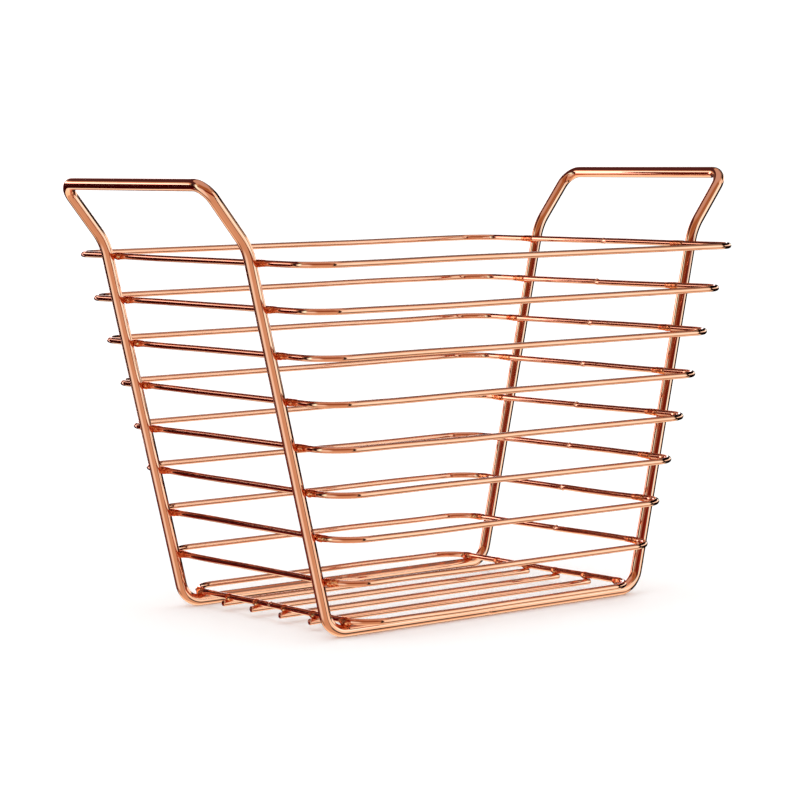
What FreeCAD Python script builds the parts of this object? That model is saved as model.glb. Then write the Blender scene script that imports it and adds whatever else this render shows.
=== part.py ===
import FreeCAD, Part
import math
import os
import Sketcher
from FreeCAD import Placement, Rotation, Vector

# Wire basket: two bent end hoops carry a stack of rounded wire rings, and a base ring with lengthwise wires.
# Frame: X along the basket, Y across it, Z up. The origin is the middle of the base, on the table.
# Every wire meets its neighbour across a small weld gap, and the weld beads fill that gap.

SIDE_RINGS = 8
BASE_WIRES = 4

DIMENSIONS = {
    "frame_wire_dia": 6.0,
    "ring_wire_dia": 3.2,
    "weld_gap": 0.15,
    "ring_pitch": 22.5,
    "low_ring_height": 28.5,
    "low_ring_half_length": 103.0,
    "low_ring_half_width": 81.0,
    "top_ring_half_length": 140.0,
    "top_ring_half_width": 106.5,
    "ring_corner_radius": 16.5,
    "ring_seam_gap": 0.6,
    "ring_bead_dia": 3.5,
    "base_ring_half_length": 91.5,
    "base_ring_half_width": 77.0,
    "base_corner_radius": 16.0,
    "base_wire_stub": 3.6,
    "base_wire_edge": 0.4,
    "bar_half_spacing": 63.0,
    "base_bend_radius": 12.0,
    "kink_radius": 30.0,
    "handle_corner_radius": 9.0,
    "handle_reach": 170.5,
    "handle_height": 223.5,
    "handle_lean_deg": 38.5,
    "frame_seam_gap": 1.0,
    "leg_weld_depth": 1.9,
    "leg_weld_length": 6.5,
    "leg_weld_height": 2.5,
    "leg_weld_shift": 4.0,
    "base_weld_length": 4.4,
    "base_weld_width": 3.6,
    "base_weld_height": 2.0,
    "wire_weld_length": 2.9,
    "wire_weld_width": 2.6,
    "wire_weld_height": 1.3,
}

# Expressions over the sheet that several sub-parts share.
BASE_RING_Z = "(dims.frame_wire_dia + dims.weld_gap + dims.ring_wire_dia / 2)"
BASE_WIRE_Z = "(dims.frame_wire_dia - dims.ring_wire_dia / 2)"
LEG_RISE = f"({SIDE_RINGS - 1} * dims.ring_pitch)"
LEG_LEAN = f"atan((dims.top_ring_half_length - dims.low_ring_half_length) / {LEG_RISE})"
TOUCH = "((dims.ring_wire_dia + dims.weld_gap) / 2)"


def make_sheet(doc):
    sheet = doc.addObject("Spreadsheet::Sheet", "dims")
    for row, (alias, value) in enumerate(DIMENSIONS.items(), start=1):
        sheet.set(f"A{row}", alias)
        sheet.set(f"B{row}", str(value))
        sheet.setAlias(f"B{row}", alias)
    doc.recompute()
    return sheet


def bind(item, **expressions):
    """Bind properties to expressions over the sheet; two underscores in a keyword stand for a dot."""
    for name, expression in expressions.items():
        path = name.replace("__", ".")
        item.setExpression(f".{path}" if "." in path else path, expression)


def origin_plane(body, role):
    return next(item for item in body.Origin.OriginFeatures if item.Role == role)


def new_sketch(body, name, role):
    sketch = body.newObject("Sketcher::SketchObject", name)
    sketch.AttachmentSupport = [(origin_plane(body, role), "")]
    sketch.MapMode = "FlatFace"
    return sketch


def new_body(doc, name):
    body = doc.addObject("PartDesign::Body", name)
    body.Label = name
    return body


def tapered(quantity, number):
    """Expression for a ring size that grows evenly from the lowest side ring to the top one."""
    low = f"dims.low_ring_half_{quantity}"
    top = f"dims.top_ring_half_{quantity}"
    return f"({low} + ({top} - {low}) * {number - 1} / {SIDE_RINGS - 1})"


def ring_height(number):
    return f"(dims.low_ring_height + dims.ring_pitch * {number - 1})"


def circle_sketch(body, name, role, radius, centre_x=None):
    """A round wire section, centred on the sketch's own origin or out along its X axis."""
    sketch = new_sketch(body, name, role)
    start = Vector(1.0 if centre_x else 0.0, 0, 0)
    sketch.addGeometry(Part.Circle(start, Vector(0, 0, 1), 1.0), False)
    sketch.addConstraint(Sketcher.Constraint("Radius", 0, 1.0))
    sketch.renameConstraint(0, "radius")
    sketch.setExpression("Constraints.radius", radius)
    if centre_x:
        sketch.addConstraint(Sketcher.Constraint("PointOnObject", 0, 3, -1))
        sketch.addConstraint(Sketcher.Constraint("DistanceX", -1, 1, 0, 3, 1.0))
        sketch.renameConstraint(2, "reach")
        sketch.setExpression("Constraints.reach", centre_x)
    else:
        sketch.addConstraint(Sketcher.Constraint("Coincident", 0, 3, -1, 1))
    return sketch


def rounded_path(sketch, half_length, half_width, radius, gap):
    """Rounded rectangle, open by the gap at the middle of its +X end; each size is (value, expression)."""
    a, b, r, g = half_length[0], half_width[0], radius[0], gap[0] / 2
    quarter = math.pi / 2
    up = Vector(0, 0, 1)

    def corner(x, y, start):
        return Part.ArcOfCircle(Part.Circle(Vector(x, y, 0), up, r), start, start + quarter)

    sketch.addGeometry([
        Part.LineSegment(Vector(a, g, 0), Vector(a, b - r, 0)),
        corner(a - r, b - r, 0),
        Part.LineSegment(Vector(a - r, b, 0), Vector(r - a, b, 0)),
        corner(r - a, b - r, quarter),
        Part.LineSegment(Vector(-a, b - r, 0), Vector(-a, r - b, 0)),
        corner(r - a, r - b, 2 * quarter),
        Part.LineSegment(Vector(r - a, -b, 0), Vector(a - r, -b, 0)),
        corner(a - r, r - b, 3 * quarter),
        Part.LineSegment(Vector(a, r - b, 0), Vector(a, -g, 0)),
    ], False)
    for piece in range(8):
        sketch.addConstraint(Sketcher.Constraint("Tangent", piece, 2, piece + 1, 1))
    for line in (0, 4, 8):
        sketch.addConstraint(Sketcher.Constraint("Vertical", line))
    for line in (2, 6):
        sketch.addConstraint(Sketcher.Constraint("Horizontal", line))
    for arc in (3, 5, 7):
        sketch.addConstraint(Sketcher.Constraint("Equal", 1, arc))
    origin, half_gap = (-1, 1), f"{gap[1]} / 2"
    driven = [
        ("right", "DistanceX", (*origin, 0, 1), a, half_length[1]),
        ("right_end", "DistanceX", (*origin, 8, 2), a, half_length[1]),
        ("left", "DistanceX", (4, 1, *origin), a, half_length[1]),
        ("back", "DistanceY", (*origin, 2, 1), b, half_width[1]),
        ("front", "DistanceY", (6, 1, *origin), b, half_width[1]),
        ("seam_start", "DistanceY", (*origin, 0, 1), g, half_gap),
        ("seam_end", "DistanceY", (8, 2, *origin), g, half_gap),
    ]
    for name, kind, points, value, expression in driven:
        index = sketch.addConstraint(Sketcher.Constraint(kind, *points, value))
        sketch.renameConstraint(index, name)
        sketch.setExpression(f"Constraints.{name}", expression)
    index = sketch.addConstraint(Sketcher.Constraint("Radius", 1, r))
    sketch.renameConstraint(index, "corner")
    sketch.setExpression("Constraints.corner", radius[1])


def value_of(doc, expression):
    """The number that an expression over the sheet gives now."""
    return float(doc.getObject("dims").evalExpression(expression))


def sized(doc, expression):
    return value_of(doc, expression), expression


def ring(doc, name, half_length, half_width, radius, height, turn=0.0):
    """One ring of wire swept round a rounded rectangle; turn puts its seam at the other end."""
    body = new_body(doc, name)
    path = new_sketch(body, f"{name}_path", "XY_Plane")
    gap = sized(doc, "dims.ring_seam_gap")
    rounded_path(path, sized(doc, half_length), sized(doc, half_width), sized(doc, radius), gap)
    section = circle_sketch(body, f"{name}_section", "XZ_Plane", "dims.ring_wire_dia / 2", half_length)
    bind(section, AttachmentOffset__Base__z="-dims.ring_seam_gap / 2")
    pipe = body.newObject("PartDesign::AdditivePipe", f"{name}_wire")
    pipe.Profile = section
    pipe.Spine = path
    body.Tip = pipe
    body.Placement = Placement(Vector(0, 0, 0), Rotation(Vector(0, 0, 1), turn))
    bind(body, Placement__Base__z=height)
    return body


def side_ring(doc, number):
    sizes = tapered("length", number), tapered("width", number)
    return ring(doc, f"side_ring_{number}", *sizes, "dims.ring_corner_radius", ring_height(number))


def base_ring(doc):
    sizes = "dims.base_ring_half_length", "dims.base_ring_half_width", "dims.base_corner_radius"
    return ring(doc, "base_ring", *sizes, BASE_RING_Z, turn=180.0)


def base_wire_place(number):
    """Expression for the Y of a base wire: even gaps from one bottom bar to the other."""
    share = 2 * number / (BASE_WIRES + 1) - 1
    return f"(dims.bar_half_spacing * {share:.3f})"


def base_wire(doc, number):
    """A straight wire under the base ring, its cut ends broken by a small round."""
    name = f"base_wire_{number}"
    body = new_body(doc, name)
    section = circle_sketch(body, f"{name}_section", "YZ_Plane", "dims.ring_wire_dia / 2")
    pad = body.newObject("PartDesign::Pad", f"{name}_length")
    pad.Profile = section
    bind(pad, Length="2 * dims.base_ring_half_length + dims.base_wire_stub + dims.ring_wire_dia / 2")
    doc.recompute()
    rims = [f"Edge{k}" for k, edge in enumerate(pad.Shape.Edges, start=1) if edge.isClosed()]
    ends = body.newObject("PartDesign::Fillet", f"{name}_ends")
    ends.Base = (pad, rims)
    bind(ends, Radius="dims.base_wire_edge")
    body.Tip = ends
    bind(body, Placement__Base__x="-dims.base_ring_half_length - dims.base_wire_stub",
         Placement__Base__y=base_wire_place(number), Placement__Base__z=BASE_WIRE_Z)
    return body


def bent_wire(points, radii):
    """Straight runs through the points, joined by tangent arcs of the given radii."""
    edges, start = [], points[0]
    for before, corner, after, radius in zip(points, points[1:], points[2:], radii):
        back = (before - corner).normalize()
        ahead = (after - corner).normalize()
        half_angle = back.getAngle(ahead) / 2
        trim = radius / math.tan(half_angle)
        centre_way = (back + ahead).normalize()
        middle = corner + centre_way * (radius / math.sin(half_angle) - radius)
        arc_start = corner + back * trim
        arc_end = corner + ahead * trim
        edges.append(Part.LineSegment(start, arc_start).toShape())
        edges.append(Part.Arc(arc_start, middle, arc_end).toShape())
        start = arc_end
    edges.append(Part.LineSegment(start, points[-1]).toShape())
    return Part.Wire(edges)


def hoop_path(doc):
    """Centre line of one hoop: half a bottom bar, leg, kink, handle, and the same again behind."""
    d = {alias: value_of(doc, f"dims.{alias}") for alias in DIMENSIONS}
    rise = (SIDE_RINGS - 1) * d["ring_pitch"]
    slope = (d["top_ring_half_length"] - d["low_ring_half_length"]) / rise
    clear = (d["frame_wire_dia"] + d["ring_wire_dia"]) / 2 + d["weld_gap"]
    leg_foot = d["low_ring_half_length"] + clear * math.hypot(1, slope) - slope * d["low_ring_height"]
    lean = math.tan(math.radians(d["handle_lean_deg"]))
    handle_foot = d["handle_reach"] - lean * d["handle_height"]
    kink_z = (leg_foot - handle_foot) / (lean - slope)
    bar_z, side = d["frame_wire_dia"] / 2, d["bar_half_spacing"]
    profile = [
        (d["frame_seam_gap"] / 2, bar_z),
        (leg_foot + slope * bar_z, bar_z),
        (leg_foot + slope * kink_z, kink_z),
        (d["handle_reach"], d["handle_height"]),
    ]
    front = [Vector(x, -side, z) for x, z in profile]
    back = [Vector(x, side, z) for x, z in reversed(profile)]
    bends = [d["base_bend_radius"], d["kink_radius"], d["handle_corner_radius"]]
    return bent_wire(front + back, bends + bends[::-1])


def end_hoop(doc, name, turn):
    """Frame wire swept along the hoop's centre line."""
    path = doc.addObject("Part::Feature", f"{name}_path")
    path.Shape = hoop_path(doc)
    section = doc.addObject("Part::Circle", f"{name}_section")
    bind(section, Radius="dims.frame_wire_dia / 2")
    section.Placement = Placement(Vector(0, 0, 0), Rotation(Vector(0, 1, 0), 90))
    bind(section, Placement__Base__x="dims.frame_seam_gap / 2", Placement__Base__y="-dims.bar_half_spacing",
         Placement__Base__z="dims.frame_wire_dia / 2")
    hoop = doc.addObject("Part::Sweep", name)
    hoop.Label = name
    hoop.Sections = [section]
    hoop.Spine = (path, [f"Edge{k}" for k in range(1, len(path.Shape.Edges) + 1)])
    hoop.Solid = True
    hoop.Frenet = False
    hoop.Placement = Placement(Vector(0, 0, 0), Rotation(Vector(0, 0, 1), turn))
    return hoop


def blob(doc, name, sizes, x, y, z, turn=0.0):
    """A weld's outer form before the wires are cut from it; sizes are half its X, Y and Z extents.

    The ellipsoid's own seam is on its +X side, and turn puts it away from the wires that are cut out.
    """
    item = doc.addObject("Part::Ellipsoid", name)
    item.Placement = Placement(Vector(0, 0, 0), Rotation(Vector(0, 0, 1), turn))
    bind(item, Radius2=sizes[0], Radius3=sizes[1], Radius1=sizes[2],
         Placement__Base__x=x, Placement__Base__y=y, Placement__Base__z=z)
    return item


def trimmed(doc, name, blobs, wires):
    """The blobs less the wires they join, as one sub-part of separate beads."""
    group = doc.addObject("Part::Compound", f"{name}_blobs")
    group.Links = blobs
    welds = doc.addObject("Part::Cut", name)
    welds.Label = name
    welds.Base = group
    welds.Tool = wires
    return welds


def leg_welds(doc, wires, end, side):
    """One fillet bead where each side ring touches the inside of a leg, all laid on one side of the leg."""
    name = f"leg_welds_{'front' if side < 0 else 'back'}_{'left' if end < 0 else 'right'}"
    sizes = "dims.leg_weld_depth", "dims.leg_weld_length", "dims.leg_weld_height"
    y = f"{side} * dims.bar_half_spacing + {end} * dims.leg_weld_shift"
    blobs = []
    for number in range(1, SIDE_RINGS + 1):
        x = f"{end} * ({tapered('length', number)} + {TOUCH} * cos({LEG_LEAN}))"
        z = f"{ring_height(number)} - {TOUCH} * sin({LEG_LEAN})"
        blobs.append(blob(doc, f"{name}_{number}", sizes, x, y, z, turn=90.0 - 90.0 * end))
    return trimmed(doc, name, blobs, wires)


def base_ring_welds(doc, wires):
    """Four beads where the base ring crosses the bottom bars."""
    sizes = "dims.base_weld_length", "dims.base_weld_width", "dims.base_weld_height"
    blobs = []
    for index, (end, side) in enumerate([(-1, -1), (1, -1), (1, 1), (-1, 1)], start=1):
        blobs.append(blob(doc, f"base_ring_weld_{index}", sizes, f"{end} * dims.base_ring_half_length",
                          f"{side} * dims.bar_half_spacing", "dims.frame_wire_dia + dims.weld_gap / 2"))
    return trimmed(doc, "base_ring_welds", blobs, wires)


def base_wire_welds(doc, wires, end):
    """Four beads where the base wires pass under one end of the base ring."""
    name = f"base_wire_welds_{'left' if end < 0 else 'right'}"
    sizes = "dims.wire_weld_length", "dims.wire_weld_width", "dims.wire_weld_height"
    blobs = []
    for number in range(1, BASE_WIRES + 1):
        x = f"{end} * dims.base_ring_half_length"
        z = f"{BASE_RING_Z} - {TOUCH}"
        blobs.append(blob(doc, f"{name}_{number}", sizes, x, base_wire_place(number), z))
    return trimmed(doc, name, blobs, wires)


def bead(doc, name, diameter, length, axis, x, y, z):
    """A short round bead centred on a butt joint, lying along the axis of its wire."""
    item = doc.addObject("Part::Cylinder", name)
    item.Placement = Placement(Vector(0, 0, 0), Rotation(Vector(0, 0, 1), axis))
    bind(item, Radius=f"{diameter} / 2", Height=length,
         Placement__Base__x=x, Placement__Base__y=y, Placement__Base__z=z)
    return item


def grouped(doc, name, beads):
    group = doc.addObject("Part::Compound", name)
    group.Label = name
    group.Links = beads
    return group


def ring_seam_beads(doc):
    """The butt weld that closes each ring, on the +X end of the side rings and the -X end of the base ring."""
    along = Vector(0, 1, 0)
    start = "-dims.ring_seam_gap / 2"
    places = [(tapered("length", number), ring_height(number)) for number in range(1, SIDE_RINGS + 1)]
    places.append(("-dims.base_ring_half_length", BASE_RING_Z))
    beads = []
    for index, (x, z) in enumerate(places, start=1):
        name = f"ring_seam_bead_{index}"
        beads.append(bead(doc, name, "dims.ring_bead_dia", "dims.ring_seam_gap", along, x, start, z))
    return grouped(doc, "ring_seam_beads", beads)


def frame_seam_beads(doc):
    """The two flush butt welds that join the hoops in the middle of the bottom bars."""
    along = Vector(1, 0, 0)
    start = "-dims.frame_seam_gap / 2"
    height = "dims.frame_wire_dia / 2"
    beads = []
    for index, side in enumerate((-1, 1), start=1):
        name, y = f"frame_seam_bead_{index}", f"{side} * dims.bar_half_spacing"
        beads.append(bead(doc, name, "dims.frame_wire_dia", "dims.frame_seam_gap", along, start, y, height))
    return grouped(doc, "frame_seam_beads", beads)


def check(doc, parts):
    doc.recompute()
    bad = [item.Name for item in doc.Objects if {"Invalid", "Error"} & set(item.State)]
    if bad:
        raise RuntimeError(f"objects that failed to compute: {bad}")
    for part in parts:
        if part.Shape.isNull() or not part.Shape.isValid() or not part.Shape.Solids:
            raise RuntimeError(f"{part.Label} has no valid solid")


def export(parts):
    os.makedirs("parts", exist_ok=True)
    for part in parts:
        part.Shape.exportStep(f"parts/{part.Label}.step")
        box = part.Shape.BoundBox
        print(f"{part.Label}: {len(part.Shape.Solids)} solids, {part.Shape.Volume:.1f} mm3, "
              f"X {box.XMin:.2f} {box.XMax:.2f} Y {box.YMin:.2f} {box.YMax:.2f} Z {box.ZMin:.2f} {box.ZMax:.2f}")


def main():
    doc = FreeCAD.newDocument("wire_basket")
    make_sheet(doc)
    hoops = [end_hoop(doc, "end_hoop_right", 0.0), end_hoop(doc, "end_hoop_left", 180.0)]
    rings = [side_ring(doc, number) for number in range(1, SIDE_RINGS + 1)] + [base_ring(doc)]
    floor = [base_wire(doc, number) for number in range(1, BASE_WIRES + 1)]
    wires = doc.addObject("Part::Compound", "all_wires")
    wires.Links = hoops + rings + floor
    doc.recompute()
    welds = [leg_welds(doc, wires, end, side) for end in (-1, 1) for side in (-1, 1)]
    welds.append(base_ring_welds(doc, wires))
    welds += [base_wire_welds(doc, wires, end) for end in (-1, 1)]
    beads = [ring_seam_beads(doc), frame_seam_beads(doc)]
    parts = hoops + rings + floor + welds + beads
    check(doc, parts)
    export(parts)


main()
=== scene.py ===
import math

import bpy
import numpy as np
from mathutils import Matrix, Vector, noise


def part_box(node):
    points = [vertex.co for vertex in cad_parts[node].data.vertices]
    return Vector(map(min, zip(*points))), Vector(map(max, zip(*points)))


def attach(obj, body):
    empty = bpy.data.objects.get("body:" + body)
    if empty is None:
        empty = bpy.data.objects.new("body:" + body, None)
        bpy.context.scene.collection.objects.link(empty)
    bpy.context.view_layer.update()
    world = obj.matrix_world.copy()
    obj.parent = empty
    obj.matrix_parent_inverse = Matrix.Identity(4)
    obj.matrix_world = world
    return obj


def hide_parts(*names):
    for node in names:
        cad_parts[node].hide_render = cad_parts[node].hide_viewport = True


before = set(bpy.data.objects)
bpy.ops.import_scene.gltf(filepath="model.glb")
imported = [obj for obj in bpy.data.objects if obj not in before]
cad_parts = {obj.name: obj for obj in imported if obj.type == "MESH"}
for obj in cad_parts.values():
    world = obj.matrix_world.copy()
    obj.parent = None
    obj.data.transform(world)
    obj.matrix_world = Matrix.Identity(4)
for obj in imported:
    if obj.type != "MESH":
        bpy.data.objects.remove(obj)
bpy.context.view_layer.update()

# A polished copper wire basket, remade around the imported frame.
# Lengths and places are in millimetres until make_piece() turns them into metres.
MM = 0.001
UP = Vector((0, 0, 1))

# Wire radii and bends; every place comes from the frame's boxes.
FRAME_WIRE = 3.0
RING_WIRE = 1.6
WELD_GAP = 0.15
RING_CORNER = 16.5
BASE_CORNER = 16.0
FOOT_BEND = 12.0
KINK_BEND = 30.0
HANDLE_BEND = 9.0
HANDLE_LEAN = math.radians(38.5)
CUT_EDGE = 0.4
HOOP_EDGE = 0.12
SIDE_RINGS = 8
BASE_WIRES = 4

RING_SIDES = 40
FRAME_SIDES = 64
RUN_STEP = 4.0
ARC_STEP = 1.0

# How far ring wires stray: waves round a ring and their size, and the step and spread at the seam.
SWAY = ((3, 0.13), (7, 0.07), (11, 0.03))
SEAM_KINK = 0.17
SEAM_INSET = 0.14
SEAM_SPREAD = 14

# How far each kind of weld metal reaches along its ring, either side of the crossing.
LEG_REACH = (-2.6, 8.6)
BAR_REACH = (-4.0, 4.0)
CROSSING_REACH = (-2.6, 2.6)
SEAM_REACH = (-1.1, 1.1)

# How far the red heat tint of a weld spreads over the wires it joins.
LEG_TINT_SHIFT = 4.0
RING_TINT = 5.0
BASE_RING_TINT = 4.5
HOOP_TINT = 4.0
BASE_WIRE_TINT = 3.0


def box(node):
    """Lowest and highest corner of a CAD node, in millimetres."""
    low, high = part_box(node)
    return Vector(low) / MM, Vector(high) / MM


# ---------------------------------------------------------------- centre lines

class Line:
    """A centre line: points, length along it, and at each point a tangent, an outward side and a lift."""

    def __init__(self, points):
        self.points = np.array([list(p) for p in points], float)
        steps = np.linalg.norm(np.diff(self.points, axis=0), axis=1)
        self.along = np.concatenate([[0.0], np.cumsum(steps)])
        self.length = self.along[-1]
        self.tangents = np.gradient(self.points, self.along, axis=0)
        self.tangents /= np.linalg.norm(self.tangents, axis=1)[:, None]
        lifts, lift = [], UP
        for tangent in self.tangents:
            t = Vector(tangent)
            lift = (lift - t * lift.dot(t)).normalized()
            lifts.append(lift)
        self.lifts = np.array(lifts)
        self.sides = np.cross(self.tangents, self.lifts)

    def at(self, places):
        """Points, tangents, sides and lifts at the given lengths along."""
        rows = []
        for table in (self.points, self.tangents, self.sides, self.lifts):
            rows.append(np.stack([np.interp(places, self.along, table[:, k]) for k in range(3)], axis=1))
        return rows

    def nearest(self, x, y):
        """Length along of the point nearest to a place in plan."""
        return self.along[np.argmin(np.hypot(self.points[:, 0] - x, self.points[:, 1] - y))]


def divided(start, end, step):
    """Points from start up to, but without, end."""
    count = max(1, round((end - start).length / step))
    return [start.lerp(end, k / count) for k in range(count)]


def rounded_line(corners, radii):
    """Straight runs joined by tangent arcs."""
    corners = [Vector(c) for c in corners]
    points, start = [], corners[0]
    for before, corner, after, radius in zip(corners, corners[1:], corners[2:], radii):
        back, ahead = (before - corner).normalized(), (after - corner).normalized()
        half = back.angle(ahead) / 2
        trim = radius / math.tan(half)
        centre = corner + (back + ahead).normalized() * (radius / math.sin(half))
        spoke = corner + back * trim - centre
        axis = spoke.cross(corner + ahead * trim - centre).normalized()
        turn = math.pi - 2 * half
        count = max(4, round(turn * radius / ARC_STEP))
        points += divided(start, corner + back * trim, RUN_STEP)
        points += [centre + Matrix.Rotation(turn * k / count, 3, axis) @ spoke for k in range(count)]
        start = corner + ahead * trim
    return points + divided(start, corners[-1], RUN_STEP) + [corners[-1]]


def ring_line(node, corner, index, turned=False):
    """A ring's centre line from its CAD box, from seam to seam, with the slight sway of bent wire."""
    low, high = box(node)
    a, b = (high.x - low.x) / 2 - RING_WIRE, (high.y - low.y) / 2 - RING_WIRE
    z = (low.z + high.z) / 2
    sign = -1 if turned else 1
    corners = [(a, 0), (a, b), (-a, b), (-a, -b), (a, -b), (a, 0)]
    points = rounded_line([(sign * x, sign * y, z) for x, y in corners], [corner] * 4)
    line = Line(points)
    sway = np.zeros_like(line.points)
    for wave, (count, size) in enumerate(SWAY):
        phase = 2.4 * index + 1.7 * wave
        angle = 2 * math.pi * count * line.along / line.length
        sway[:, 2] += size * np.sin(angle + phase)
        sway -= line.sides * (size * (1 + np.sin(angle + 2 * phase)) / 2)[:, None]
    fade = np.exp(-line.along / SEAM_SPREAD) - np.exp(-(line.length - line.along) / SEAM_SPREAD)
    kink = SEAM_KINK * math.sin(1.9 * index + 0.6)
    sway[:, 2] += kink * fade
    sway -= line.sides * (SEAM_INSET * np.abs(fade))[:, None]
    return Line(line.points + sway)


def hoop_line():
    """The right hoop's centre line, from the boxes of the hoop and of the rings it carries."""
    low, high = box("end_hoop_right")
    side, bar_z = high.y - FRAME_WIRE, low.z + FRAME_WIRE
    reach, top = high.x - FRAME_WIRE, high.z - FRAME_WIRE
    (_, first), (_, last) = box("side_ring_1"), box(f"side_ring_{SIDE_RINGS}")
    slope = (last.x - first.x) / (last.z - first.z)
    clear = FRAME_WIRE + RING_WIRE + WELD_GAP
    foot = first.x - RING_WIRE + clear * math.hypot(1, slope) - slope * (first.z - RING_WIRE)
    lean = math.tan(HANDLE_LEAN)
    kink_z = (foot - reach + lean * top) / (lean - slope)
    profile = [(low.x, bar_z), (foot + slope * bar_z, bar_z)]
    profile += [(foot + slope * kink_z, kink_z), (reach, top)]
    corners = [(x, -side, z) for x, z in profile] + [(x, side, z) for x, z in reversed(profile)]
    bends = [FOOT_BEND, KINK_BEND, HANDLE_BEND]
    return Line(rounded_line(corners, bends + bends[::-1]))


# ---------------------------------------------------------------- meshes

def circle_rows(line, places, radii, sides):
    """Rings of points round a line: radii is one number per place, or one row of numbers per place."""
    points, _, across, lifts = line.at(places)
    turn = np.arange(sides) * 2 * math.pi / sides
    spokes = np.cos(turn)[None, :, None] * across[:, None, :]
    spokes = spokes + np.sin(turn)[None, :, None] * lifts[:, None, :]
    radii = np.asarray(radii, float)
    if radii.ndim == 1:
        radii = np.repeat(radii[:, None], sides, axis=1)
    return points[:, None, :] + radii[:, :, None] * spokes


def tube(rows, heat, along):
    """A closed tube through rows of points: vertices, faces, a heat value per vertex, UVs per corner."""
    count, sides = rows.shape[:2]
    tips = np.array([rows[0].mean(axis=0), rows[-1].mean(axis=0)])
    vertices = np.concatenate([rows.reshape(-1, 3), tips])
    heats = np.concatenate([np.repeat(heat, sides), [0.0, 0.0]])
    radius = np.linalg.norm(rows[count // 2, 0] - rows[count // 2].mean(axis=0))
    faces, uvs = [], []
    for i in range(count - 1):
        for j in range(sides):
            k = (j + 1) % sides
            faces.append((i * sides + j, i * sides + k, (i + 1) * sides + k, (i + 1) * sides + j))
            left, right = j / sides * 2 * math.pi * radius, (j + 1) / sides * 2 * math.pi * radius
            uvs += [(left, along[i]), (right, along[i]), (right, along[i + 1]), (left, along[i + 1])]
    first, last = len(vertices) - 2, (count - 1) * sides
    for j in range(sides):
        k = (j + 1) % sides
        faces += [(first, k, j), (first + 1, last + j, last + k)]
        uvs += [(0, along[0])] * 3 + [(0, along[-1])] * 3
    return vertices, faces, heats, uvs


def make_piece(name, chunks, material, nodes, angle=0.0):
    """One object from tube() chunks, turned about Z, riding on the one body in place of its CAD nodes."""
    vertices, faces, heats, uvs = [], [], [], []
    total = 0
    for chunk_vertices, chunk_faces, chunk_heats, chunk_uvs in chunks:
        vertices.append(chunk_vertices)
        faces += [tuple(total + i for i in face) for face in chunk_faces]
        heats.append(chunk_heats)
        uvs += chunk_uvs
        total += len(chunk_vertices)
    mesh = bpy.data.meshes.new(name)
    mesh.from_pydata((np.concatenate(vertices) * MM).tolist(), [], faces)
    if angle:
        mesh.transform(Matrix.Rotation(angle, 4, "Z"))
    mesh.polygons.foreach_set("use_smooth", [True] * len(faces))
    heat = mesh.attributes.new("heat", "FLOAT", "POINT")
    heat.data.foreach_set("value", np.concatenate(heats).astype(np.float32))
    layer = mesh.uv_layers.new(name="wire")
    layer.data.foreach_set("uv", (np.array(uvs, np.float32) * MM).ravel())
    mesh.materials.append(material)
    mesh.update()
    piece = bpy.data.objects.new(name, mesh)
    bpy.context.scene.collection.objects.link(piece)
    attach(piece, "root")
    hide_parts(*nodes)


def warmth(line, spots, reach):
    """How near each point of a line is to the closest hot spot, from 0 to 1."""
    spots = np.array([list(s) for s in spots])
    gaps = np.linalg.norm(line.points[:, None, :] - spots[None, :, :], axis=2).min(axis=1)
    return np.exp(-((gaps / reach) ** 2))


def wire(line, radius, sides, spots, reach, cut=0.05):
    """A whole wire along a line, its two end edges broken by cut."""
    turns = [math.pi / 2 * k / 4 for k in range(5)]
    head = [cut * (1 - math.cos(turn)) for turn in turns]
    size = [radius - cut * (1 - math.sin(turn)) for turn in turns]
    middle = [place for place in line.along if cut < place < line.length - cut]
    places = head + middle + [line.length - place for place in reversed(head)]
    radii = size + [radius] * (len(places) - 2 * len(size)) + size[::-1]
    places = np.array(places)
    heat = np.interp(places, line.along, warmth(line, spots, reach))
    return tube(circle_rows(line, places, radii, sides), heat, places)


def bell(x, width):
    """A smooth bump of height 1 at x = 0."""
    return np.exp(-((np.asarray(x) / width) ** 2))


def sleeve(line, centre, reach, thickness, seed, rough=0.22, step=0.3, sides=36):
    """Lumpy weld metal round a line, thickness(t, angle) over the wire, with t measured from centre."""
    low, high = reach
    count = round((high - low) / step)
    t = np.linspace(low, high, count + 1)
    turn = np.arange(sides) * 2 * math.pi / sides
    angle = (turn + math.pi) % (2 * math.pi) - math.pi
    height = np.zeros((count + 1, sides)) + thickness(t[:, None], angle[None, :])
    rows = circle_rows(line, centre + t, RING_WIRE + height, sides)
    lumps = np.zeros_like(height)
    for i in range(len(t)):
        for j in range(sides):
            p = Vector(rows[i, j]) * 0.9 + Vector((seed * 7.3, seed * 3.1, seed * 5.7))
            lumps[i, j] = noise.noise(p) + 0.5 * noise.noise(p * 2.3)
    ends = np.minimum(t - low, high - t)[:, None]
    height = height + rough * lumps * np.clip(height * 2.5, 0, 1)
    height = np.where(ends < 0.01, -0.25, height)
    rows = circle_rows(line, centre + t, RING_WIRE + height, sides)
    return tube(rows, np.clip(1.3 - np.abs(t) / high, 0, 1), centre + t)


def leg_fillet(t, angle):
    """A bead in the corner between ring and leg, thinning to a stained skin further along the ring."""
    skin = 0.18 * np.clip((8.6 - t) / 4.0, 0, 1) * np.clip((t + 2.6) / 1.5, 0, 1) - 0.05
    core = 0.95 * bell(t - 2.2, 2.0) * bell(angle + 0.15, 0.7)
    under = 0.3 * bell(t - 1.6, 1.6) * bell(angle + 1.25, 0.6)
    return skin + core + under


def bar_fillet(t, angle):
    """A bead where the base ring crosses a bottom bar: thick below, thin over the top."""
    below = 1.5 * (bell(angle + 0.75, 0.55) + bell(angle + 2.39, 0.55)) * bell(t, 2.6)
    return below + 0.2 * bell(t, 2.8) - 0.05


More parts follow.
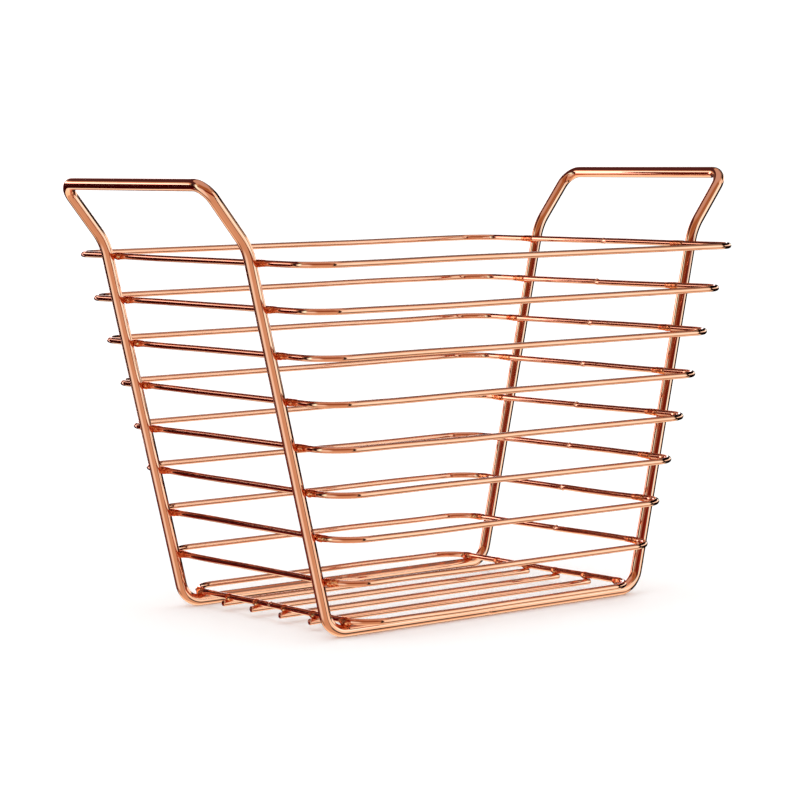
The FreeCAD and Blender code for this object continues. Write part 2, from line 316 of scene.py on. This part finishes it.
def crossing_fillet(t, angle):
    """A small bead where a base wire meets the base ring."""
    below = 0.9 * (bell(angle + 0.8, 0.6) + bell(angle + 2.34, 0.6)) * bell(t, 1.5)
    return below + 0.12 * bell(t, 1.7) - 0.05


def seam_bead(t, _):
    """A thin even bead round a ring's butt joint."""
    return 0.2 * bell(t, 0.55) - 0.03


# ---------------------------------------------------------------- materials

def node_tree(material):
    """A material's node tree and its shader."""
    material.use_nodes = True
    tree = material.node_tree
    return tree, tree.nodes["Principled BSDF"]


def add(tree, kind, **values):
    """A new node with settings or input values given by name."""
    node = tree.nodes.new(kind)
    for key, value in values.items():
        if hasattr(node, key):
            setattr(node, key, value)
        else:
            node.inputs[key].default_value = value
    return node


def ramp(tree, source, stops):
    """The colour output of a ramp through (position, colour) stops."""
    node = tree.nodes.new("ShaderNodeValToRGB")
    elements = node.color_ramp.elements
    while len(elements) < len(stops):
        elements.new(0.5)
    for element, (position, colour) in zip(elements, stops):
        element.position = position
        element.color = (*colour, 1.0)
    tree.links.new(source, node.inputs["Fac"])
    return node.outputs["Color"]


def copper(name, bright, deep, red, polish, lumps, clouds=45.0):
    """Copper plating: cloudy tone, fine drawing lines along the wire and a red heat tint at welds."""
    material = bpy.data.materials.new(name)
    tree, shader = node_tree(material)
    shader.inputs["Metallic"].default_value = 1.0
    links = tree.links
    coords = tree.nodes.new("ShaderNodeTexCoord")
    cloud = add(tree, "ShaderNodeTexNoise", Scale=clouds, Detail=3.0, Roughness=0.55)
    links.new(coords.outputs["Object"], cloud.inputs["Vector"])
    tone = ramp(tree, cloud.outputs["Fac"], [(0.35, deep), (0.62, bright)])
    uv = add(tree, "ShaderNodeUVMap", uv_map="wire")
    stretch = tree.nodes.new("ShaderNodeMapping")
    stretch.inputs["Scale"].default_value = (2600.0, 60.0, 1.0)
    links.new(uv.outputs["UV"], stretch.inputs["Vector"])
    draw = add(tree, "ShaderNodeTexNoise", Scale=1.0, Detail=2.0, Roughness=0.6)
    links.new(stretch.outputs["Vector"], draw.inputs["Vector"])
    heat = add(tree, "ShaderNodeAttribute", attribute_name="heat")
    speck = add(tree, "ShaderNodeTexNoise", Scale=900.0, Detail=3.0, Roughness=0.6)
    links.new(coords.outputs["Object"], speck.inputs["Vector"])
    stain = add(tree, "ShaderNodeMath", operation="MULTIPLY_ADD")
    links.new(speck.outputs["Fac"], stain.inputs[0])
    stain.inputs[1].default_value = 0.5
    stain.inputs[2].default_value = -0.25
    total = add(tree, "ShaderNodeMath", operation="ADD", use_clamp=True)
    links.new(heat.outputs["Fac"], total.inputs[0])
    links.new(stain.outputs[0], total.inputs[1])
    edge = add(tree, "ShaderNodeMath", operation="MULTIPLY", use_clamp=True)
    links.new(total.outputs[0], edge.inputs[0])
    links.new(heat.outputs["Fac"], edge.inputs[1])
    mix = tree.nodes.new("ShaderNodeMix")
    mix.data_type = "RGBA"
    links.new(edge.outputs[0], mix.inputs["Factor"])
    links.new(tone, mix.inputs["A"])
    mix.inputs["B"].default_value = (*red, 1.0)
    links.new(mix.outputs["Result"], shader.inputs["Base Color"])
    rough = add(tree, "ShaderNodeMapRange")
    rough.inputs["To Min"].default_value = polish
    rough.inputs["To Max"].default_value = polish + 0.04
    links.new(draw.outputs["Fac"], rough.inputs["Value"])
    rougher = add(tree, "ShaderNodeMath", operation="MULTIPLY_ADD")
    links.new(heat.outputs["Fac"], rougher.inputs[0])
    rougher.inputs[1].default_value = 0.12
    links.new(rough.outputs["Result"], rougher.inputs[2])
    links.new(rougher.outputs[0], shader.inputs["Roughness"])
    lines = add(tree, "ShaderNodeBump", Strength=0.02)
    lines.inputs["Distance"].default_value = 0.00001
    links.new(draw.outputs["Fac"], lines.inputs["Height"])
    pits = add(tree, "ShaderNodeBump", Strength=lumps)
    pits.inputs["Distance"].default_value = 0.0002
    links.new(speck.outputs["Fac"], pits.inputs["Height"])
    links.new(lines.outputs["Normal"], pits.inputs["Normal"])
    links.new(pits.outputs["Normal"], shader.inputs["Normal"])
    return material


BRIGHT = (0.88, 0.41, 0.275)
DEEP = (0.84, 0.37, 0.235)
RED = (0.40, 0.03, 0.008)
FRAME_COPPER = copper("frame_copper", BRIGHT, DEEP, RED, 0.02, 0.003)
RING_COPPER = copper("ring_copper", BRIGHT, DEEP, RED, 0.025, 0.003)
BASE_COPPER = copper("base_copper", BRIGHT, DEEP, RED, 0.04, 0.006)
WELD_COPPER = copper("weld_copper", (0.98, 0.42, 0.19), (0.44, 0.025, 0.008), (0.20, 0.003, 0.001),
                     0.16, 0.6, 700.0)
node_tree(WELD_COPPER)[1].inputs["Specular Tint"].default_value = (1.0, 0.3, 0.2, 1.0)


# ---------------------------------------------------------------- the basket

rings = {}
for number in range(1, SIDE_RINGS + 1):
    rings[number] = ring_line(f"side_ring_{number}", RING_CORNER, number)
base = ring_line("base_ring", BASE_CORNER, 0, turned=True)
hoop = hoop_line()
leg_side = box("end_hoop_right")[1].y - FRAME_WIRE

leg_spots = {}
for number, line in rings.items():
    reach = line.points[:, 0].max()
    for end in (-1, 1):
        for side in (-1, 1):
            leg_spots[number, end, side] = line.nearest(end * reach, side * leg_side)

for number, line in rings.items():
    places = [leg_spots[number, end, side] + LEG_TINT_SHIFT for end in (-1, 1) for side in (-1, 1)]
    chunk = wire(line, RING_WIRE, RING_SIDES, line.at(places)[0], RING_TINT)
    make_piece(f"wire_ring_{number}", [chunk], RING_COPPER, [f"side_ring_{number}"])

base_reach = base.points[:, 0].max()
base_spots = {}
for end in (-1, 1):
    for side in (-1, 1):
        base_spots[end, side] = base.nearest(end * base_reach, side * leg_side)
chunk = wire(base, RING_WIRE, RING_SIDES, base.at(list(base_spots.values()))[0], BASE_RING_TINT)
make_piece("wire_base_ring", [chunk], RING_COPPER, ["base_ring"])

hoop_spots = []
for number in rings:
    for side in (-1, 1):
        hoop_spots.append(rings[number].at([leg_spots[number, 1, side]])[0][0] + np.array([FRAME_WIRE, 0, 0]))
for side in (-1, 1):
    hoop_spots.append(base.at([base_spots[1, side]])[0][0] - np.array([0, 0, FRAME_WIRE]))
for end, angle in ((1, 0.0), (-1, math.pi)):
    side_name = "right" if end > 0 else "left"
    chunk = wire(hoop, FRAME_WIRE, FRAME_SIDES, hoop_spots, HOOP_TINT, cut=HOOP_EDGE)
    make_piece(f"frame_hoop_{side_name}", [chunk], FRAME_COPPER,
               [f"end_hoop_{side_name}"], angle)

for number in range(1, BASE_WIRES + 1):
    low, high = box(f"base_wire_{number}")
    y, z = (low.y + high.y) / 2, (low.z + high.z) / 2
    start, stop = Vector((low.x, y, z)), Vector((high.x, y, z))
    line = Line(divided(start, stop, RUN_STEP) + [stop])
    spots = [(end * base_reach, y, z) for end in (-1, 1)]
    chunk = wire(line, RING_WIRE, RING_SIDES, spots, BASE_WIRE_TINT, cut=CUT_EDGE)
    make_piece(f"wire_base_{number}", [chunk], BASE_COPPER, [f"base_wire_{number}"])

seed = 0
for end in (-1, 1):
    for side in (-1, 1):
        name = f"{'front' if side < 0 else 'back'}_{'left' if end < 0 else 'right'}"
        chunks = []
        for number, line in rings.items():
            seed += 1
            chunks.append(sleeve(line, leg_spots[number, end, side], LEG_REACH, leg_fillet, seed))
        make_piece(f"fillets_{name}", chunks, WELD_COPPER, [f"leg_welds_{name}"])

chunks = []
for place in base_spots.values():
    seed += 1
    chunks.append(sleeve(base, place, BAR_REACH, bar_fillet, seed))
make_piece("fillets_base_ring", chunks, WELD_COPPER, ["base_ring_welds"])

for end in (-1, 1):
    side_name = "right" if end > 0 else "left"
    chunks = []
    for number in range(1, BASE_WIRES + 1):
        seed += 1
        low, high = box(f"base_wire_{number}")
        place = base.nearest(end * base_reach, (low.y + high.y) / 2)
        chunks.append(sleeve(base, place, CROSSING_REACH, crossing_fillet, seed, rough=0.15))
    make_piece(f"fillets_base_wires_{side_name}", chunks, WELD_COPPER,
               [f"base_wire_welds_{side_name}"])

chunks = []
for line in [*rings.values(), base]:
    seed += 1
    ends = Line(np.concatenate([line.points[-4:-1], line.points[:4]]))
    chunks.append(sleeve(ends, ends.length / 2, SEAM_REACH, seam_bead, seed, rough=0.08, step=0.12))
make_piece("seam_beads_rings", chunks, RING_COPPER, ["ring_seam_beads"])

chunks = []
low, high = box("frame_seam_beads")
for side in (-1, 1):
    y = side * leg_side
    line = Line([(x, y, FRAME_WIRE) for x in np.linspace(low.x - 0.4, high.x + 0.4, 12)])
    radii = FRAME_WIRE - 0.02 - 0.015 * np.cos(line.along * 5)
    rows = circle_rows(line, line.along, radii, FRAME_SIDES)
    chunks.append(tube(rows, np.zeros(len(line.along)), line.along))
make_piece("seam_beads_frame", chunks, FRAME_COPPER, ["frame_seam_beads"])


# ---------------------------------------------------------------- stage, light and camera

scene = bpy.context.scene

FLOOR_REACH = 6.0
floor_mesh = bpy.data.meshes.new("floor")
floor_corners = [(-1, -1), (1, -1), (1, 1), (-1, 1)]
floor_points = [(FLOOR_REACH * x, FLOOR_REACH * y, 0) for x, y in floor_corners]
floor_mesh.from_pydata(floor_points, [], [(0, 1, 2, 3)])
floor = bpy.data.objects.new("floor", floor_mesh)
scene.collection.objects.link(floor)
floor_material = bpy.data.materials.new("floor_paper")
tree, shader = node_tree(floor_material)
shader.inputs["Base Color"].default_value = (0.995, 0.995, 0.995, 1)
shader.inputs["Roughness"].default_value = 0.8
shader.inputs["Specular IOR Level"].default_value = 0.0
floor_mesh.materials.append(floor_material)

# What the copper mirrors: a warm room with soft boxes and dark flags, painted as patches one over another.
# Each patch is (azimuths, elevations, softness, red-green-blue brightness), with angles in degrees.
# Azimuth 0 is +Y and 90 is +X.
DAYLIGHT = (1.16, 1.16, 1.16)
ROOM = (0.75, 0.62, 0.45)
PATCHES = [
    ((-200, 200), (-91, -56), 3.4, (0.82, 0.71, 0.52)),
    ((-29, 97), (-91, -28), 2.4, (1.27, 1.34, 1.08)),
    ((-200, 200), (55, 91), 1.7, (0.68, 0.61, 0.57)),
    ((56, 137), (43, 55), 2.4, (0.27, 0.26, 0.26)),
    ((36, 122), (-33, 41), 2.6, (0.007, 0.003, 0.003)),
    ((-6, 40), (-28, 23), 2.9, (0.056, 0.04, 0.048)),
    ((-71, 33), (25, 52), 1.5, (0.092, 0.034, 0.037)),
    ((120, 175), (-48, 38), 2.1, (0.08, 0.095, 0.085)),
    ((125, 167), (-30, 37), 1.3, (1.24, 1.42, 1.31)),
    ((130, 171), (-6, 11), 2.0, (1.25, 2.08, 2.30)),
    ((-183, -56), (2, 22), 2.7, (0.18, 0.023, 0.012)),
    ((-182, -88), (20, 54), 10.9, (0.42, 0.21, 0.083)),
    ((-215, -68), (0, 3), 1.7, (0.46, 0.026, 0.007)),
    ((-113, -52), (-39, 9), 10.0, (1.11, 1.31, 1.31)),
    ((-81, -71), (-22, 27), 4.8, (1.26, 2.47, 2.47)),
    ((-64, -48), (-56, 27), 4.8, (0.035, 0.04, 0.045)),
    ((166, 177), (-16, 15), 1.7, (0.029, 0.005, 0.003)),
    ((-43, -3), (-34, 4), 1.3, (0.16, 0.003, 0.003)),
    ((9, 43), (-5, 13), 1.3, (2.68, 2.49, 2.59)),
    ((58, 116), (1, 14), 1.4, (1.46, 1.70, 1.60)),
]


def studio():
    """A world that lights everything evenly white and shows the painted room in reflections alone."""
    world = bpy.data.worlds.new("studio")
    world.use_nodes = True
    tree = world.node_tree
    links = tree.links

    def math_node(operation, first, *others):
        node = add(tree, "ShaderNodeMath", operation=operation)
        links.new(first, node.inputs[0])
        for place, other in enumerate(others, start=1):
            if isinstance(other, (int, float)):
                node.inputs[place].default_value = other
            else:
                links.new(other, node.inputs[place])
        return node.outputs[0]

    def ramped(value, low, high):
        """0 below low and 1 above high; falling where high is under low."""
        node = add(tree, "ShaderNodeMapRange", interpolation_type="SMOOTHSTEP")
        rising = low < high
        node.inputs["From Min"].default_value = min(low, high)
        node.inputs["From Max"].default_value = max(low, high)
        node.inputs["To Min"].default_value = 0 if rising else 1
        node.inputs["To Max"].default_value = 1 if rising else 0
        links.new(value, node.inputs["Value"])
        return node.outputs["Result"]

    coords = tree.nodes.new("ShaderNodeTexCoord")
    split = tree.nodes.new("ShaderNodeSeparateXYZ")
    links.new(coords.outputs["Generated"], split.inputs[0])
    azimuth = math_node("DEGREES", math_node("ARCTAN2", split.outputs["X"], split.outputs["Y"]))
    elevation = math_node("DEGREES", math_node("ARCSINE", split.outputs["Z"]))
    colour = add(tree, "ShaderNodeRGB").outputs[0]
    colour.default_value = (*ROOM, 1)
    for (left, right), (low, high), soft, glow in PATCHES:
        middle, reach = (left + right) / 2, (right - left) / 2
        turn = math_node("WRAP", math_node("SUBTRACT", azimuth, middle), 180, -180)
        across = ramped(math_node("ABSOLUTE", turn), reach + soft, reach - soft)
        upward = math_node("MULTIPLY", ramped(elevation, low - soft, low + soft),
                           ramped(elevation, high + soft, high - soft))
        mix = tree.nodes.new("ShaderNodeMix")
        mix.data_type = "RGBA"
        links.new(math_node("MULTIPLY", across, upward), mix.inputs["Factor"])
        links.new(colour, mix.inputs["A"])
        mix.inputs["B"].default_value = (*glow, 1)
        colour = mix.outputs["Result"]
    path = tree.nodes.new("ShaderNodeLightPath")
    mirrored = tree.nodes.new("ShaderNodeMix")
    mirrored.data_type = "RGBA"
    links.new(path.outputs["Is Glossy Ray"], mirrored.inputs["Factor"])
    mirrored.inputs["A"].default_value = (*DAYLIGHT, 1)
    links.new(colour, mirrored.inputs["B"])
    links.new(mirrored.outputs["Result"], tree.nodes["Background"].inputs["Color"])
    world.cycles.sampling_method = "NONE"
    return world


def card(name, places, heights, depth, glow):
    """An upright card across the back, seen by nothing but the copper; sizes in millimetres."""
    mesh = bpy.data.meshes.new(name)
    (left, right), (low, high) = places, heights
    outline = [(left, low), (right, low), (right, high), (left, high)]
    mesh.from_pydata([(x * MM, depth * MM, z * MM) for x, z in outline], [], [(0, 1, 2, 3)])
    material = bpy.data.materials.new(name)
    _, shader = node_tree(material)
    shader.inputs["Base Color"].default_value = (0, 0, 0, 1)
    shader.inputs["Specular IOR Level"].default_value = 0.0
    shader.inputs["Emission Color"].default_value = (*glow, 1)
    shader.inputs["Emission Strength"].default_value = 1.0
    mesh.materials.append(material)
    item = bpy.data.objects.new(name, mesh)
    scene.collection.objects.link(item)
    item.visible_camera = item.visible_diffuse = item.visible_shadow = item.visible_transmission = False


scene.world = studio()
floor.visible_glossy = False
card("strip_light", (-900, -208), (-130, 490), 807, (3.2, 2.92, 2.95))
card("black_flag", (-1200, -187), (-60, 267), 398, (0.037, 0.002, 0.002))

scene.view_settings.view_transform = "Standard"

CAMERA_PLACE = Vector((-0.9054, -1.1418, 0.2445))
CAMERA_AZIMUTH, CAMERA_ELEVATION, CAMERA_ROLL = (math.radians(x) for x in (-38.23, 5.40, -0.72))
camera_data = bpy.data.cameras.new("camera")
camera = bpy.data.objects.new("camera", camera_data)
scene.collection.objects.link(camera)
camera_data.sensor_width = 36.0
camera_data.lens = 124.9
camera_data.clip_start, camera_data.clip_end = 0.05, 50.0
back = Vector((math.sin(CAMERA_AZIMUTH) * math.cos(CAMERA_ELEVATION),
               -math.cos(CAMERA_AZIMUTH) * math.cos(CAMERA_ELEVATION), math.sin(CAMERA_ELEVATION)))
right = Vector((math.cos(CAMERA_AZIMUTH), math.sin(CAMERA_AZIMUTH), 0))
up = back.cross(right)
cosine, sine = math.cos(CAMERA_ROLL), math.sin(CAMERA_ROLL)
rolled_right, rolled_up = cosine * right + sine * up, cosine * up - sine * right
camera.matrix_world = Matrix((rolled_right, rolled_up, back)).transposed().to_4x4()
camera.location = CAMERA_PLACE
scene.camera = camera
